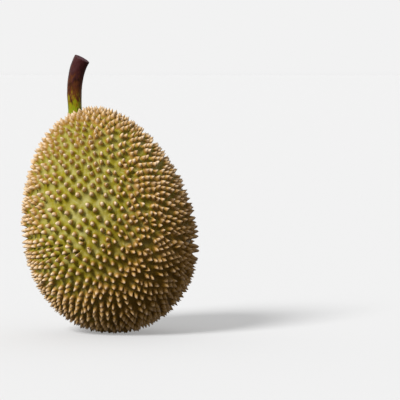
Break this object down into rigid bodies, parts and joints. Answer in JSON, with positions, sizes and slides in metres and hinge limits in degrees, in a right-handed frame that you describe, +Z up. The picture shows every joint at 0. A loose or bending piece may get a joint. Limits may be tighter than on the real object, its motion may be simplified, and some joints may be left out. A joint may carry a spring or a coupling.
{
  "type": "whole durian",
  "caption": "Whole durian, an egg-shaped thorny fruit that leans a little, standing on its broad end with a short curved cut stalk on top.",
  "frame": {"origin": "middle of the footprint, on the surface that the fruit stands on", "axes": "+Z up, through the crown; the fruit leans towards -X and its stalk curves back towards +X; -Y is the front, where the seam between the thorn rows shows"},
  "size_m": [0.179, 0.1688, 0.2776],
  "materials": {
    "husk": "satin olive-green rind with tan thorn tips",
    "stalk": "slightly glossy dark brown bark, olive at the root"
  },
  "bodies": {
    "root": {"husk": "husk", "stalk": "stalk"}
  },
  "joints": []
}
